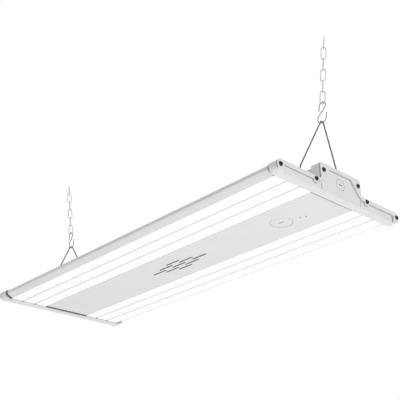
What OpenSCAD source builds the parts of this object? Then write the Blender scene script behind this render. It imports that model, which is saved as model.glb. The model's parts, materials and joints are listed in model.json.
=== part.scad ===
// Suspended linear high-bay shop light: two extruded wings with three diffuser
// strips each, a driver channel over a centre panel, moulded end caps with dark
// screws, and a wire V hanger, S hook and welded chain at each end.
// Millimetres. X runs along the light, Y across it and Z up. The undersides of
// the end caps are the plane z = 0, and x = y = 0 is the middle of the light.

/* [Housing] */
// Length of the diffusers that shows between the end caps
lens_len = 577.4; // [420:0.2:1160]
// Width of the centre panel
panel_w = 82.4; // [74:0.2:110]
// Width of one diffuser strip's place
lens_w = 21; // [19:0.5:28]
// Width of the ribs between the diffusers
rib_w = 2; // [1.8:0.1:3]
// Width of the sloping rail outside the last diffuser
rail_w = 10; // [9:0.5:16]
// Height of a wing above the diffusers' faces
wing_h = 11.6; // [11:0.1:15]
// Height of the driver channel above the diffusers' faces
channel_h = 34.2; // [31:0.2:50]
// Width of the driver channel
channel_w = 76.4; // [75:0.2:100]
// Sheet thickness of the driver channel
channel_t = 1.5; // [1:0.1:2]
// Sheet thickness of the centre panel
panel_t = 0.9; // [0.8:0.1:1.6]

/* [End caps] */
// Depth of an end cap along the light
cap_d = 14.2; // [13:0.2:30]
// How far the end caps stand proud of the diffusers and the channel
cap_proud = 2.2; // [2:0.1:4]
// How far the end caps stand out beyond the rails
cap_side = 3.4; // [2.6:0.1:5]
// Wall of an end cap over the wing
cap_wing_t = 1.8; // [1.4:0.1:3]
// Thickness of an end cap's face
cap_face_t = 4; // [3.4:0.1:5]
// Depth of the field sunk in an end cap's face
cap_field_d = 2.2; // [0.6:0.1:2.4]
// Diameter of the cable entry in an end cap
entry_d = 16; // [12:0.5:18]
// Head diameter of the cap screws
screw_head_d = 5.6; // [5:0.1:6]

/* [Centre panel] */
// Diameter of the sensor port
port_d = 31; // [24:0.5:40]
// Distance of the sensor port's middle from the end cap
port_in = 87.1; // [50:0.1:92]
// Length of a vent slot
vent_len = 29.5; // [20:0.5:36]
// Width of a vent slot
vent_w = 2.4; // [1.2:0.1:3]
// Spacing of the vents along the light
vent_pitch_x = 43.2; // [40:0.2:50]
// Spacing of the rows of vents across the light
vent_pitch_y = 6.4; // [5:0.1:8]

/* [Diffusers and boards] */
// Thickness of a diffuser's face
lens_t = 1.6; // [1.2:0.1:2]
// Height of a diffuser's legs
lens_leg_h = 2.8; // [2.6:0.1:3]
// Thickness of an LED board
board_t = 1.3; // [1:0.1:1.4]
// Spacing of the LED chips along a board
chip_pitch = 14; // [9:0.5:28]

/* [Hanging gear] */
// Wire diameter of the V hangers
vee_wire_d = 2; // [1.8:0.1:2.4]
// Distance of a V hanger's pivot from the end cap
foot_in = 17.8; // [17:0.2:80]
// Height of a V hanger from its pivot to its peak
vee_h = 88; // [70:1:150]
// Outward lean of the hanging gear as it hangs, in degrees
lean = 8; // [0:1:14]
// Wire diameter of the S hooks
hook_wire_d = 1.6; // [1.4:0.1:2]
// Bend radius of an S hook's lower bowl
hook_bowl_r = 7; // [6:0.1:9]
// Bend radius of an S hook's upper arch
hook_arch_r = 5.4; // [4.8:0.1:6.4]
// Distance between the two bends of an S hook
hook_span = 18.2; // [17:0.1:24]
// Wire diameter of the chain
link_wire_d = 1.6; // [1.4:0.1:1.8]
// Inside length of a chain link
link_len = 17; // [15:0.5:26]
// Bend radius of a chain link's ends
link_r = 3.3; // [3:0.1:4]
// Turn of the chain from the S hooks' plane, in degrees
chain_turn = 45; // [40:1:50]

/* [Hidden] */

$fn = 48;
cut = 1;

// Places worked out from the housing's sizes
lens_z = cap_proud;
wing_top = lens_z + wing_h;
channel_top = lens_z + channel_h;
panel_top = lens_z + panel_t;
half_len = lens_len / 2;
port_x = half_len - port_in;
foot_x = half_len - foot_in;
strips = 3;
strip_pitch = lens_w + rib_w;
strip_end = panel_w / 2 + strips * lens_w + (strips - 1) * rib_w;
rail_out = strip_end + rail_w;
function strip_y(i) = panel_w / 2 + i * strip_pitch;

// Gap between an end cap and what slides into it, and between it and their ends
slide_gap = 0.3;
body_x = half_len + cap_d - cap_face_t - slide_gap;
body_len = 2 * body_x;
cap_x = half_len + cap_d;

// Wing
fin_h = 3;
fin_t = 1.2;
fin_pitch = 7;
web_t = 1.6;
web_top = wing_top - fin_h;
web_z = web_top - web_t;
ledge_w = 0.8;
ledge_t = 0.8;
ledge_gap = 0.1;
ledge_top = web_z - board_t - ledge_gap;
barb_w = 0.4;
barb_h = 0.8;
barb_gap = 0.15;
barb_lift = 1;
barb_z = lens_z + lens_t + barb_lift;
rail_edge_w = 2;
rail_slope_w = rail_w - rail_edge_w;
rail_slope_h = 3.7;
rail_round_h = 1.8;
rail_wall_t = 1.6;
rail_drop = 1.7;
rail_top = wing_top - rail_drop;
port_boss_r = 2.6;
// Share of a wing's height at which the corner screws lie
corner_screw_z_share = 0.53;

// Cap screws
screw_d = 2.4;
screw_fit = 0.05;
screw_len = 10;
head_h = 2;
socket_af = 2.5;
socket_d = 1.2;
corner_screw_in = 2;
corner_screw_y = rail_out - corner_screw_in;
corner_screw_z = lens_z + corner_screw_z_share * wing_h;
channel_flange_w = 9.8;
flange_gap = 0.4;
shoulder_screw_y = channel_w / 2 + channel_flange_w + flange_gap + port_boss_r;
shoulder_screw_z = wing_top - port_boss_r;
top_screw_in = 2;
top_screw_y = channel_w / 2 - channel_t - top_screw_in;
top_screw_drop = 7.8;
top_screw_z = channel_top - top_screw_drop;
cap_screws = [
    [corner_screw_y, corner_screw_z],
    [shoulder_screw_y, shoulder_screw_z],
    [top_screw_y, top_screw_z]
];

// Connectors for the boards' leads, just inside the channel's sides
board_lead_d = 1.8;
connector_gap = 0.3;
connector_l = 14;
connector_w = 5;
connector_h = 6;
connector_mouth = 5;
connector_in_y = channel_w / 2 - channel_t - connector_gap - connector_w;
// The wings' webs reach in under the connectors
web_in_y = min(connector_in_y, panel_w / 2 - rib_w);

// Driver channel
channel_bend_r = 2;
tab_w = 10;
tab_h = 11;
channel_screw_d = 3;
channel_screw_count = 5;
channel_screw_head_d = 5.5;
channel_screw_head_h = 1.8;
channel_screw_gap = 0.1;
channel_screw_len = channel_t + web_t - channel_screw_gap;
channel_screw_out = 0.4;
channel_screw_y = channel_w / 2 + channel_flange_w / 2 + channel_screw_out;
channel_screw_span_share = 0.86;

// Centre panel
clip_t = 1.2;
clip_l = 40;
clip_pitch_share = 0.36;
clip_pitch = clip_pitch_share * lens_len;
clip_gap = 0.25;
clip_y = panel_w / 2 - rib_w - clip_gap;
clip_gap_top = 0.4;
pilot_d = 2.4;
// Pilot holes, each so far past the sensor port's middle and to its side
pilot_past = [26.5, 33.8];
pilot_side = [6.7, 9.6];
vent_rows = 2;
plug_gap = 0.4;
plug_rim_w = 1.6;
plug_rim_t = 1;
plug_hub_h = 3;
plug_slot_l = 6;
plug_slot_w = 1.6;
plug_slot_d = 1.2;
plug_hub_share = 1 / 3;
cord_d = 8;
grommet_flange_w = 2;
grommet_flange_t = 2;

// Diffusers and boards
lens_gap = 0.25;
lens_leg_t = 1;
board_gap = 0.25;
board_short = 6;
chip_l = 3.5;
chip_w = 2.8;
chip_h = 0.7;

// Driver, its screws and the terminal block
driver_l = 210;
driver_w = 56;
driver_h = 22;
driver_r = 3;
driver_x = 40;
driver_ear_l = 9;
driver_ear_w = 26;
driver_ear_t = 1.5;
driver_screw_d = 3.6;
driver_screw_l = 5;
driver_head_d = 7;
driver_head_h = 2;
terminal_l = 26;
terminal_w = 30;
terminal_h = 16;
mains_lead_run = 77;
terminal_x = driver_x - driver_l / 2 - mains_lead_run - terminal_l;
terminal_ways = 3;
terminal_mouth_d = 4;
terminal_mouth_depth = 6;
terminal_screw_d = 4;
terminal_slot_w = 0.9;
lead_d = 2.4;
lead_sides = 8;
lead_sag = 4;
lead_steps = 10;
lead_stub = 8;
board_lead_run = 60;
connector_x = driver_x + driver_l / 2 + board_lead_run;

// Hanging gear
foot_depth = 6;
foot_fit = 0.08;
foot_drop = 1;
foot_z = channel_top - channel_t - vee_wire_d / 2 - foot_drop;
foot_bend_r = 2.4;
side_gap = 0.1;
leg_y = channel_w / 2 + side_gap + foot_bend_r;
leg_rise = 9;
knee_r = 12;
peak_r = 3.6;
wire_gap = 0.3;
hook_gap = 0.9;
seam = 0.02;
lap = 0.2;
hook_tip_l = 7;
links = 6;

// An arc of points round a centre, from one angle to another
function arc(c, r, a0, a1, n = 8) = [for (i = [0:n]) c + r * [cos(a0 + (a1 - a0) * i / n), sin(a0 + (a1 - a0) * i / n)]];
// A right half outline closed by its own mirror image
function both_halves(p) = concat(p, [for (i = [len(p) - 1:-1:0]) [-p[i][0], p[i][1]]]);
// A smooth step from 0 to 1
function ease(t) = t * t * (3 - 2 * t);

// Lays a drawing made in the Y-Z plane along X
module along_x(x0, x1) {
    translate([x0, 0, 0]) rotate([90, 0, 90]) linear_extrude(x1 - x0) children();
}
module block(x, y, z) {
    translate([x[0], y[0], z[0]]) cube([x[1] - x[0], y[1] - y[0], z[1] - z[0]]);
}
module span(y, z) {
    translate([y[0], z[0]]) square([y[1] - y[0], z[1] - z[0]]);
}
module rod_x(x, y, z, d, l) {
    translate([x, y, z]) rotate([0, 90, 0]) cylinder(h = l, d = d);
}
module at_side(s) {
    if (s > 0) children();
    else mirror([0, 1, 0]) children();
}
module at_end(s) {
    if (s > 0) children();
    else mirror([1, 0, 0]) children();
}

// Wings
module rib(y, w, z) {
    span([y, y + w], [z, web_top]);
}
// Ledges that carry a board, on both sides of a strip
module ledges(i) {
    for (y = [strip_y(i), strip_y(i) + lens_w - ledge_w])
        span([y - rib_w / 2, y + ledge_w + rib_w / 2], [ledge_top - ledge_t, ledge_top]);
}
// Grooves that a diffuser's barbs snap into
module grooves(i) {
    span([strip_y(i) - barb_w - barb_gap, strip_y(i) + lens_w + barb_w + barb_gap],
         [barb_z - barb_gap, barb_z + barb_h + barb_gap]);
}
module rail_2d() {
    polygon([
        [strip_end, lens_z],
        [strip_end + rail_slope_w, lens_z + rail_slope_h],
        [rail_out, lens_z + rail_slope_h + rail_round_h],
        [rail_out, rail_top],
        [rail_out - rail_wall_t, rail_top],
        [rail_out - rail_wall_t, web_top],
        [strip_end, web_top]
    ]);
}
module wing_2d() {
    first_fin = shoulder_screw_y + port_boss_r + fin_t;
    difference() {
        union() {
            span([web_in_y, rail_out - rail_wall_t], [web_z, web_top]);
            rib(panel_w / 2 - rib_w, rib_w, panel_top);
            for (i = [1:strips - 1]) rib(strip_y(i) - rib_w, rib_w, lens_z);
            rail_2d();
            for (i = [0:strips - 1]) intersection() {
                ledges(i);
                span([strip_y(i) - rib_w / 2, strip_y(i) + lens_w + rib_w / 2], [lens_z, web_top]);
            }
            for (y = [first_fin:fin_pitch:rail_out - rail_wall_t - fin_pitch / 2])
                span([y, y + fin_t], [web_top - fin_t, wing_top]);
            intersection() {
                translate([shoulder_screw_y, shoulder_screw_z]) circle(r = port_boss_r);
                span([0, rail_out], [web_z, wing_top]);
            }
            span([shoulder_screw_y - port_boss_r, shoulder_screw_y + port_boss_r], [web_z, shoulder_screw_z]);
        }
        for (i = [0:strips - 1]) grooves(i);
    }
}
module wing(s) {
    color("gainsboro") at_side(s) difference() {
        along_x(-body_x, body_x) wing_2d();
        for (p = [cap_screws[0], cap_screws[1]])
            rod_x(-body_x - cut, p[0], p[1], screw_d + 2 * screw_fit, body_len + 2 * cut);
        for (x = channel_screw_places)
            translate([x, channel_screw_y, web_z - cut])
                cylinder(h = web_t + 2 * cut, d = channel_screw_d + 2 * screw_fit);
    }
}
channel_screw_places = [
    for (i = [0:channel_screw_count - 1])
        half_len * channel_screw_span_share * (2 * i / (channel_screw_count - 1) - 1)
];

// Driver channel: a folded sheet with flanges that sit on the wings' webs
module channel_2d() {
    hw = channel_w / 2;
    r = channel_bend_r;
    ri = r - channel_t / 2;
    outer = concat(
        [[hw + channel_flange_w, web_top], [hw + channel_flange_w, web_top + channel_t]],
        [[hw, web_top + channel_t]],
        arc([hw - r, channel_top - r], r, 0, 90)
    );
    inner = concat(
        [[hw - channel_t, web_top - cut]],
        arc([hw - channel_t - ri, channel_top - channel_t - ri], ri, 0, 90)
    );
    difference() {
        polygon(both_halves(outer));
        polygon(both_halves(inner));
    }
}
// Tabs folded in at a channel's end, which take the upper cap screws
module channel_tab(s) {
    y1 = channel_w / 2 - channel_t / 2;
    y0 = channel_w / 2 - channel_t - tab_w;
    z1 = channel_top - channel_t / 2;
    z0 = channel_top - channel_t - tab_h;
    at_side(s) difference() {
        block([body_x - channel_t, body_x], [y0, y1], [z0, z1]);
        rod_x(body_x - channel_t - cut, top_screw_y, top_screw_z, screw_d + 2 * screw_fit, channel_t + 2 * cut);
    }
}
module driver_channel() {
    color("gainsboro") difference() {
        union() {
            along_x(-body_x, body_x) channel_2d();
            for (e = [-1, 1]) at_end(e) for (s = [-1, 1]) channel_tab(s);
        }
        for (e = [-1, 1]) translate([e * foot_x, -channel_w, foot_z])
            rotate([-90, 0, 0]) cylinder(h = 2 * channel_w, d = foot_d + 2 * foot_fit);
        for (s = [-1, 1]) for (x = channel_screw_places)
            translate([x, s * channel_screw_y, web_top - cut])
                cylinder(h = channel_t + 2 * cut, d = channel_screw_d + 2 * screw_fit);
        for (p = driver_screw_places) translate([p[0], p[1], channel_top - channel_t - cut])
            cylinder(h = channel_t + 2 * cut, d = driver_screw_d + 2 * screw_fit);
    }
}
module channel_screws() {
    color("silver") for (s = [-1, 1]) for (x = channel_screw_places)
        translate([x, s * channel_screw_y, web_top + channel_t]) {
            difference() {
                cylinder(h = channel_screw_head_h, d1 = channel_screw_head_d, d2 = channel_screw_d);
                translate([0, 0, channel_screw_head_h - socket_d / 2])
                    cylinder(h = socket_d, d = channel_screw_d / 2, $fn = 6);
            }
            translate([0, 0, -channel_screw_len]) cylinder(h = channel_screw_len, d = channel_screw_d);
        }
}

// Centre panel: a sheet with folded clips, a sensor port and a diamond of vents
function vents_in_row(r) = vent_rows + 1 - abs(r);
module panel_vents() {
    for (r = [-vent_rows:vent_rows]) for (i = [0:vents_in_row(r) - 1])
        translate([(i - (vents_in_row(r) - 1) / 2) * vent_pitch_x, r * vent_pitch_y, lens_z - cut])
            vent();
}
module vent() {
    straight = vent_len - vent_w;
    translate([-straight / 2, -vent_w / 2, 0]) cube([straight, vent_w, panel_t + 2 * cut]);
    for (x = [-straight / 2, straight / 2]) translate([x, 0, 0]) cylinder(h = panel_t + 2 * cut, d = vent_w);
}
module center_panel() {
    color("whitesmoke") difference() {
        union() {
            block([-body_x, body_x], [-panel_w / 2, panel_w / 2], [lens_z, panel_top]);
            for (s = [-1, 1]) at_side(s)
                for (k = [-1:1]) block([k * clip_pitch - clip_l / 2, k * clip_pitch + clip_l / 2],
                                       [clip_y - clip_t, clip_y],
                                       [lens_z + panel_t / 2, web_z - clip_gap_top]);
        }
        panel_vents();
        translate([port_x, 0, lens_z - cut]) cylinder(h = panel_t + 2 * cut, d = port_d);
        for (i = [0, 1]) translate([port_x + pilot_past[i], pilot_side[i], lens_z - cut])
            cylinder(h = panel_t + 2 * cut, d = pilot_d);
    }
}
// A blanking plug with its face at z = 0, pointing down: a disc that fills the
// hole, a rim behind the sheet and a slot for a screwdriver
module blanking_plug(d, sheet) {
    difference() {
        union() {
            cylinder(h = sheet, d = d - 2 * plug_gap);
            translate([0, 0, sheet]) cylinder(h = plug_rim_t, d = d + 2 * plug_rim_w);
        }
        translate([-plug_slot_l / 2, -plug_slot_w / 2, -cut])
            cube([plug_slot_l, plug_slot_w, plug_slot_d + cut]);
        translate([0, 0, sheet]) difference() {
            cylinder(h = plug_rim_t + cut, d = d - 2 * plug_rim_w);
            translate([0, 0, -cut]) cylinder(h = plug_rim_t + 3 * cut, d = plug_hub_share * d);
        }
    }
    translate([0, 0, sheet]) cylinder(h = plug_hub_h, d = plug_hub_share * d);
}
module sensor_port_plug() {
    color("whitesmoke") translate([port_x, 0, lens_z]) blanking_plug(port_d, panel_t);
}

// End caps
cap_half = rail_out + cap_side;
cap_wing_top = wing_top + cap_wing_t;
cap_top = channel_top + cap_proud;
cap_box_half = channel_w / 2 + cap_proud;
cap_low_r = 8;
cap_high_r = 7.4;
cap_box_r = 3;
cap_fillet_r = 2.4;
cap_groove_in = 1.1;
cap_groove_w = 1;
cap_groove_d = 0.7;
cap_groove_z = 3;
face_groove_in = 1.4;
face_groove_z = 1.6;
face_groove_w = 0.8;
face_groove_d = 0.6;
// Right half of a cap's outline, set in by d
function cap_outline(d) = concat(
    arc([cap_half - cap_low_r, cap_low_r], cap_low_r - d, -90, 0),
    arc([cap_half - cap_high_r, cap_wing_top - cap_high_r], cap_high_r - d, 0, 90),
    arc([cap_box_half + cap_fillet_r, cap_wing_top + cap_fillet_r], cap_fillet_r + d, 270, 180, 6),
    arc([cap_box_half - cap_box_r, cap_top - cap_box_r], cap_box_r - d, 0, 90, 6)
);
// The socket that takes the wings, channel, panel and diffusers
module socket_2d() {
    g = slide_gap;
    polygon(both_halves([
        [strip_end + g, lens_z - g],
        [strip_end + rail_slope_w + g, lens_z + rail_slope_h - g],
        [rail_out + g, lens_z + rail_slope_h + rail_round_h - g],
        [rail_out + g, rail_top + g],
        [rail_out - rail_wall_t - g, rail_top + g],
        [rail_out - rail_wall_t - g, wing_top + g],
        [channel_w / 2 + g, wing_top + g],
        [channel_w / 2 + g, channel_top - channel_bend_r / 2 + g],
        [channel_w / 2 - channel_bend_r / 2 + g, channel_top + g]
    ]));
}
// The field sunk in the face, below the screws' rim
field_edge_drop = 5.4;
field_edge_z = cap_wing_top - field_edge_drop;
field_end_gap = 4;
field_end_y = corner_screw_y - screw_head_d / 2 - field_end_gap;
field_top_drop = 5.2;
field_top_z = cap_top - field_top_drop;
field_top_gap = 10.8;
field_top_y = top_screw_y - screw_head_d / 2 - field_top_gap;
field_foot_gap = 5;
field_foot_y = shoulder_screw_y - screw_head_d / 2 - field_foot_gap;
field_end_r = 3;
field_steps = 10;
// Share of the S-shaped edge's rise that is steady
field_rise_share = 0.35;
function field_curve(t) = field_rise_share * t + (1 - field_rise_share) * t * t * (2 - t);
module field_2d() {
    difference() {
        polygon(both_halves(concat(
            [[field_end_y, -cut]],
            arc([field_end_y - field_end_r, field_edge_z - field_end_r], field_end_r, 0, 90, 4),
            [for (i = [0:field_steps]) let (t = i / field_steps)
                [field_foot_y + (field_top_y - field_foot_y) * t,
                 field_edge_z + (field_top_z - field_edge_z) * field_curve(t)]]
        )));
        for (s = [-1, 1]) translate([s * shoulder_screw_y, shoulder_screw_z])
            circle(d = screw_head_d + 2 * cap_proud);
    }
}
// Groove round the cap's sides and top, which sets the face off
module cap_groove_2d() {
    difference() {
        span([-cap_half - cut, cap_half + cut], [cap_groove_z, cap_top + cut]);
        polygon(both_halves(cap_outline(cap_groove_d)));
    }
}
// Upright grooves in the field, below the box's corners
module face_grooves_2d() {
    for (s = [-1, 1]) translate([s * (cap_box_half - face_groove_in), 0])
        span([-face_groove_w / 2, face_groove_w / 2], [face_groove_z, field_edge_z]);
}
entry_lift = 1.9;
entry_z = lens_z + (field_top_z - lens_z) / 2 + entry_lift;
module end_cap(e) {
    color("whitesmoke") at_end(e) difference() {
        along_x(half_len, cap_x) polygon(both_halves(cap_outline(0)));
        along_x(half_len - cut, cap_x - cap_face_t) socket_2d();
        along_x(cap_x - cap_field_d, cap_x + cut) field_2d();
        along_x(cap_x - cap_field_d - face_groove_d, cap_x) face_grooves_2d();
        along_x(cap_x - cap_groove_in - cap_groove_w, cap_x - cap_groove_in) cap_groove_2d();
        for (s = [-1, 1]) for (p = cap_screws)
            rod_x(cap_x - cap_face_t - cut, s * p[0], p[1], screw_d + 4 * screw_fit, cap_face_t + 2 * cut);
        rod_x(cap_x - cap_face_t - cut, 0, entry_z, entry_d, cap_face_t + 2 * cut);
    }
}
entry_wall_t = cap_face_t - cap_field_d;
// Draws what fills a cable entry, from the sunk field inwards along +Z
module at_entry(e) {
    at_end(e) translate([cap_x - cap_field_d, 0, entry_z]) rotate([0, -90, 0]) rotate([0, 0, 90]) children();
}
module entry_plug(e) {
    color("whitesmoke") at_entry(e) blanking_plug(entry_d, entry_wall_t);
}
// The rubber grommet that the mains cord enters through
module cord_grommet() {
    flange_d = entry_d + 2 * grommet_flange_w;
    color("black") at_entry(-1) difference() {
        union() {
            translate([0, 0, -grommet_flange_t]) cylinder(h = grommet_flange_t, d = flange_d);
            cylinder(h = entry_wall_t, d = entry_d - 2 * plug_gap);
            translate([0, 0, entry_wall_t]) cylinder(h = grommet_flange_t, d = flange_d);
        }
        translate([0, 0, -grommet_flange_t - cut])
            cylinder(h = entry_wall_t + 2 * grommet_flange_t + 2 * cut, d = cord_d);
    }
}
// A cap screw with its head's seat at z = 0, pointing up, and a hexagon socket
module cap_screw() {
    difference() {
        union() {
            translate([0, 0, -screw_len]) cylinder(h = screw_len, d = screw_d);
            cylinder(h = head_h / 2, d = screw_head_d);
            translate([0, 0, head_h / 2])
                cylinder(h = head_h / 2, d1 = screw_head_d, d2 = screw_head_d - head_h);
        }
        translate([0, 0, head_h - socket_d])
            cylinder(h = socket_d + cut, d = socket_af / cos(30), $fn = 6);
    }
}
module cap_screws(e) {
    color("dimgray") at_end(e) for (s = [-1, 1]) for (p = cap_screws)
        translate([cap_x, s * p[0], p[1]]) rotate([0, 90, 0]) cap_screw();
}

// Diffusers: a channel of opal plastic whose barbed legs snap between the ribs
module diffuser_2d() {
    w = lens_w - 2 * lens_gap;
    top = lens_z + lens_t + lens_leg_h;
    span([-w / 2, w / 2], [lens_z, lens_z + lens_t]);
    for (s = [-1, 1]) mirror([s > 0 ? 0 : 1, 0]) {
        span([w / 2 - lens_leg_t, w / 2], [lens_z, top]);
        span([w / 2 - lens_leg_t / 2, lens_w / 2 + barb_w], [barb_z, barb_z + barb_h]);
    }
}
module diffuser(s, i) {
    color("white") along_x(-body_x, body_x)
        translate([s * (strip_y(i) + lens_w / 2), 0]) diffuser_2d();
}

// LED boards: an aluminium strip on the wing's web with a row of chips below
chip_count = floor((2 * half_len - 2 * board_short) / chip_pitch);
module led_board(s, i) {
    y = s * (strip_y(i) + lens_w / 2);
    hw = lens_w / 2 - board_gap;
    z = web_z - board_t;
    color("ivory") union() {
        block([-half_len + board_short, half_len - board_short], [y - hw, y + hw], [z, web_z]);
        for (k = [0:chip_count - 1])
            translate([(k - (chip_count - 1) / 2) * chip_pitch - chip_l / 2, y - chip_w / 2, z - chip_h])
                cube([chip_l, chip_w, chip_h]);
    }
}

// LED driver: a canned unit with an ear at each end, screwed under the channel's roof
driver_top = channel_top - channel_t;
driver_screw_places = [
    for (x = [-1, 1]) [driver_x + x * (driver_l + driver_ear_l) / 2, 0]
];
module led_driver() {
    color("lightgray") difference() {
        union() {
            translate([driver_x - driver_l / 2, 0, driver_top - driver_h]) {
                block([0, driver_l], [-driver_w / 2 + driver_r, driver_w / 2 - driver_r], [0, driver_h]);
                block([0, driver_l], [-driver_w / 2, driver_w / 2], [driver_r, driver_h]);
                for (s = [-1, 1]) rod_x(0, s * (driver_w / 2 - driver_r), driver_r, 2 * driver_r, driver_l);
            }
            block([driver_x - driver_l / 2 - driver_ear_l, driver_x + driver_l / 2 + driver_ear_l],
                  [-driver_ear_w / 2, driver_ear_w / 2], [driver_top - driver_ear_t, driver_top]);
        }
        for (p = driver_screw_places) translate([p[0], p[1], driver_top - driver_ear_t - cut])
            cylinder(h = driver_ear_t + 2 * cut, d = driver_screw_d + 2 * screw_fit);
    }
}
module driver_screws() {
    color("silver") for (p = driver_screw_places) translate([p[0], p[1], channel_top]) {
        difference() {
            cylinder(h = driver_head_h, d1 = driver_head_d, d2 = driver_screw_d);
            translate([0, 0, driver_head_h - socket_d / 2]) cylinder(h = socket_d, d = driver_screw_d / 2, $fn = 6);
        }
        translate([0, 0, -driver_screw_l]) cylinder(h = driver_screw_l, d = driver_screw_d);
    }
}
// Terminal block under the roof, with a mouth and a clamp screw for each way
function way_y(k) = (k - (terminal_ways - 1) / 2) * terminal_w / terminal_ways;
lead_z = driver_top - terminal_h / 2;
module terminal_block() {
    z0 = driver_top - terminal_h;
    color("white") difference() {
        block([terminal_x, terminal_x + terminal_l], [-terminal_w / 2, terminal_w / 2], [z0, driver_top]);
        for (k = [0:terminal_ways - 1]) {
            for (x = [terminal_x - cut, terminal_x + terminal_l - terminal_mouth_depth])
                rod_x(x, way_y(k), lead_z, terminal_mouth_d, terminal_mouth_depth + cut);
            for (x = [1 / 4, 3 / 4]) translate([terminal_x + x * terminal_l, way_y(k), z0 - cut])
                cylinder(h = terminal_screw_d / 4 + cut, d = terminal_screw_d);
        }
        for (k = [0:terminal_ways - 2])
            block([terminal_x - cut, terminal_x + terminal_l + cut],
                  [way_y(k + 1 / 2) - terminal_slot_w / 2, way_y(k + 1 / 2) + terminal_slot_w / 2],
                  [z0 - cut, z0 + terminal_slot_w]);
    }
}
// A lead swept along a path that never runs straight up
module sweep(path, d) {
    n = lead_sides;
    m = len(path);
    points = [for (i = [0:m - 1])
        let (t = path[min(i + 1, m - 1)] - path[max(i - 1, 0)],
             side = cross(t, [0, 0, 1]) / norm(cross(t, [0, 0, 1])),
             up = cross(side, t) / norm(t))
        for (k = [0:n - 1]) path[i] + d / 2 * (side * cos(360 * k / n) + up * sin(360 * k / n))];
    walls = [for (i = [0:m - 2]) for (k = [0:n - 1])
        [i * n + k, (i + 1) * n + k, (i + 1) * n + (k + 1) % n, i * n + (k + 1) % n]];
    first = [for (k = [0:n - 1]) k];
    last = [for (k = [n - 1:-1:0]) (m - 1) * n + k];
    polyhedron(points, concat([first], walls, [last]));
}
// A lead's path between two places, straight at both ends and sagging between them
function lead_path(a, b, sag) = concat(
    [a],
    [for (i = [0:lead_steps]) let (t = i / lead_steps)
        [a[0] + lead_stub + (b[0] - a[0] - 2 * lead_stub) * t, a[1] + (b[1] - a[1]) * ease(t),
         a[2] + (b[2] - a[2]) * ease(t) - sag * pow(sin(180 * t), 2)]],
    [b]
);
module mains_leads() {
    color("dimgray") for (k = [0:terminal_ways - 1])
        sweep(lead_path([terminal_x + terminal_l - terminal_mouth_depth, way_y(k), lead_z],
                        [driver_x - driver_l / 2, way_y(k) / 2, lead_z], lead_sag), lead_d);
}
// Two-way connectors on the wings' webs, and the leads that feed them
function connector_y(k) = connector_in_y + connector_w * (1 + 2 * k) / 4;
module board_connectors() {
    color("white") for (s = [-1, 1]) at_side(s) difference() {
        block([connector_x, connector_x + connector_l], [connector_in_y, connector_in_y + connector_w],
              [web_top, web_top + connector_h]);
        for (k = [0, 1]) rod_x(connector_x - cut, connector_y(k), web_top + connector_h / 2,
                               board_lead_d + 2 * screw_fit, connector_mouth + cut);
    }
}
module board_leads() {
    color("firebrick") for (s = [-1, 1]) for (k = [0, 1])
        sweep(lead_path([driver_x + driver_l / 2, s * (k + 1) * 2 * board_lead_d, lead_z],
                        [connector_x + connector_mouth, s * connector_y(k), web_top + connector_h / 2], 0),
              board_lead_d);
}

// Hanging gear, drawn upright with the V hanger's pivot at the origin
foot_d = vee_wire_d - seam;
module bend(r, d, a0, a1) {
    rotate([90, 0, 0]) rotate([0, 0, a0])
        rotate_extrude(angle = a1 - a0) translate([r, 0]) circle(d = d);
}
// A straight run of wire, a little thinner than the bends, and lapped into them
module run(p, q, d) {
    v = q - p;
    u = v / norm(v);
    translate(p - lap * u) rotate([0, acos(u[2]), atan2(u[1], u[0])])
        cylinder(h = norm(v) + 2 * lap, d = d - seam);
}
// The leg's slope, from the knee above the roof's edge to the peak's bend
knee = [leg_y, leg_rise];
leg_angle = leg_slope(10);
// Repeats the sum that makes a leg tangent to both its bends
function leg_slope(n, a = 25) = n == 0 ? a : leg_slope(n - 1, atan2(
    knee[0] - knee_r * (1 - cos(a)) - peak_r * cos(a),
    vee_h - peak_r + peak_r * sin(a) - knee[1] - knee_r * sin(a)));
module v_hanger_flat() {
    a = leg_angle;
    foot_end = channel_w / 2 - channel_t - foot_depth;
    knee_end = [knee[0] - knee_r * (1 - cos(a)), knee[1] + knee_r * sin(a)];
    peak_start = [peak_r * cos(a), vee_h - peak_r + peak_r * sin(a)];
    for (s = [0, 1]) mirror([s, 0, 0]) {
        run([foot_end, 0, 0], [leg_y - foot_bend_r, 0, 0], vee_wire_d);
        translate([leg_y - foot_bend_r, 0, foot_bend_r]) bend(foot_bend_r, vee_wire_d, 270, 360);
        run([leg_y, 0, foot_bend_r], [leg_y, 0, knee[1]], vee_wire_d);
        translate([leg_y - knee_r, 0, knee[1]]) bend(knee_r, vee_wire_d, 0, a);
        run([knee_end[0], 0, knee_end[1]], [peak_start[0], 0, peak_start[1]], vee_wire_d);
    }
    translate([0, 0, vee_h - peak_r]) bend(peak_r, vee_wire_d, a, 180 - a);
}
module hang(e) {
    translate([e * foot_x, 0, foot_z]) rotate([0, e * lean, 0]) children();
}
module v_hanger(e) {
    color("silver") hang(e) rotate([0, 0, 90]) v_hanger_flat();
}
hook_tilt = asin((hook_bowl_r + hook_arch_r) / hook_span);
bowl_z = vee_h - vee_wire_d / 2 - hook_wire_d / 2 - wire_gap + hook_bowl_r;
hook_top = bowl_z + hook_span + hook_arch_r;
module s_hook(e) {
    a = hook_tilt;
    d = hook_wire_d;
    color("silver") hang(e) translate([0, 0, bowl_z]) {
        translate([0, 0, hook_span]) bend(hook_arch_r, d, -a, 180);
        bend(hook_bowl_r, d, 180 - a, 360);
        run([hook_arch_r * cos(a), 0, hook_span - hook_arch_r * sin(a)],
            [-hook_bowl_r * cos(a), 0, hook_bowl_r * sin(a)], d);
        run([-hook_arch_r, 0, hook_span - hook_tip_l], [-hook_arch_r, 0, hook_span], d);
        run([hook_bowl_r, 0, 0], [hook_bowl_r, 0, hook_tip_l], d);
    }
}
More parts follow.
